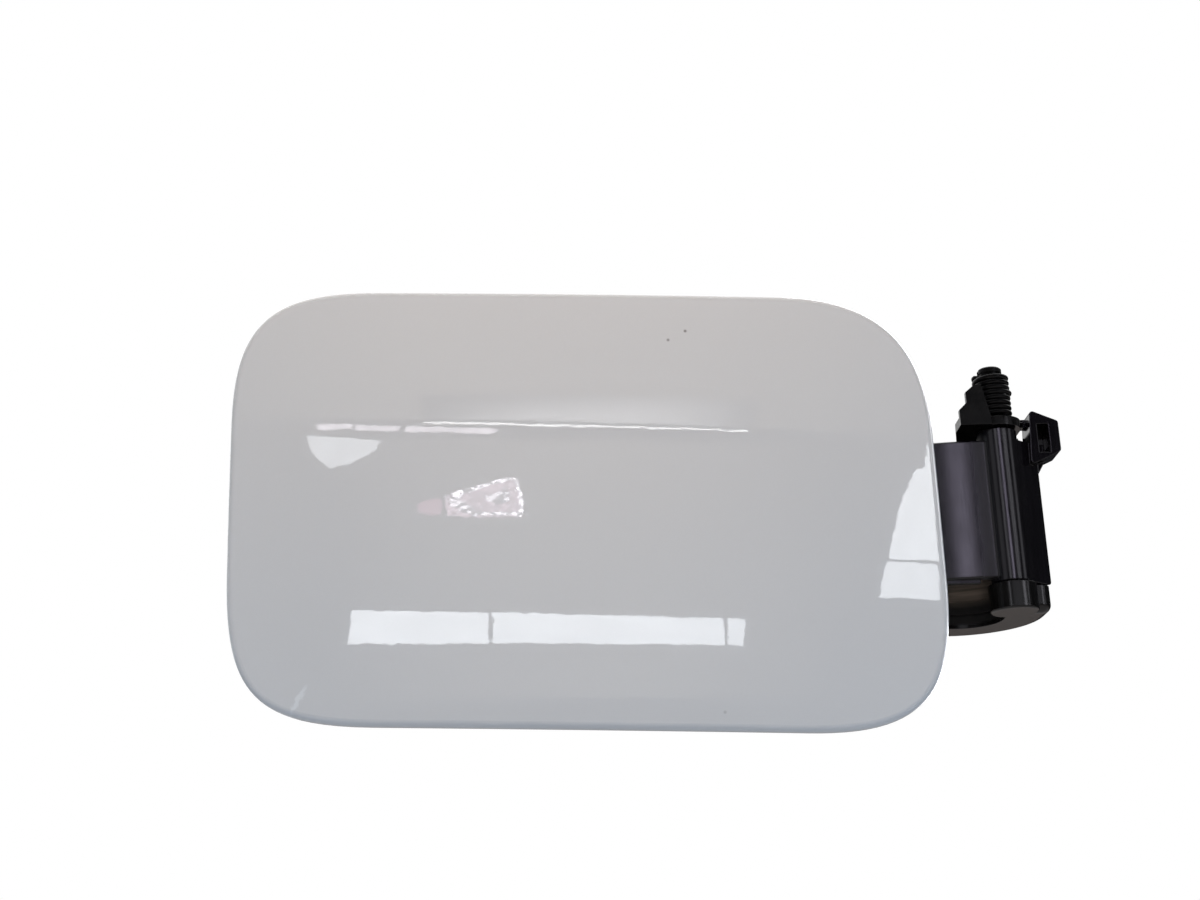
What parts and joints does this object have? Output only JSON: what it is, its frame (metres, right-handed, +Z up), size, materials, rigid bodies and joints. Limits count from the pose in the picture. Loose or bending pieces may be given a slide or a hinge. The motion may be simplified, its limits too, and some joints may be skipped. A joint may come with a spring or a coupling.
{
  "type": "car fuel door",
  "caption": "Car fuel door: a crowned, hemmed painted steel flap with rounded corners, swinging on a black gooseneck hinge with a pin, a torsion spring and a snap-in bearing block.",
  "frame": {"origin": "on the hinge axis, half way up the barrel of the bearing block", "axes": "+Z up along the hinge axis, +X to the right along the flap seen from outside the car, +Y into the car"},
  "size_m": [0.2304, 0.0463, 0.1286],
  "materials": {
    "paint": "pale grey-white gloss body paint with clear coat",
    "mastic": "dull anti-flutter mastic",
    "block_plastic": "glass-filled black plastic, satin",
    "arm_plastic": "smooth black plastic",
    "pin_steel": "black-finished steel",
    "spring_steel": "black-coated spring wire",
    "zinc": "zinc-plated steel",
    "rubber": "black moulded rubber"
  },
  "bodies": {
    "base": {"hinge_base": "block_plastic", "torsion_spring": "spring_steel"},
    "flap": {"outer_panel": "paint", "inner_panel": "paint", "mastic_pad_left": "mastic", "mastic_pad_right": "mastic", "hinge_arm": "arm_plastic", "hinge_pin": "pin_steel", "arm_screws": "zinc", "arm_nuts": "zinc", "latch_striker": "arm_plastic", "striker_screws": "zinc", "striker_nuts": "zinc", "bump_stop_1": "rubber", "bump_stop_2": "rubber", "bump_stop_3": "rubber", "bump_stop_4": "rubber"}
  },
  "joints": [
    {"name": "flap_hinge", "type": "hinge", "parent": "base", "child": "flap", "pos_m": [0, 0, 0], "axis": [0, 0, 1], "range_deg": [0, 85], "stiffness_Nm_per_rad": 0.12, "springref_deg": -28.65, "deforming": ["torsion_spring"]}
  ]
}
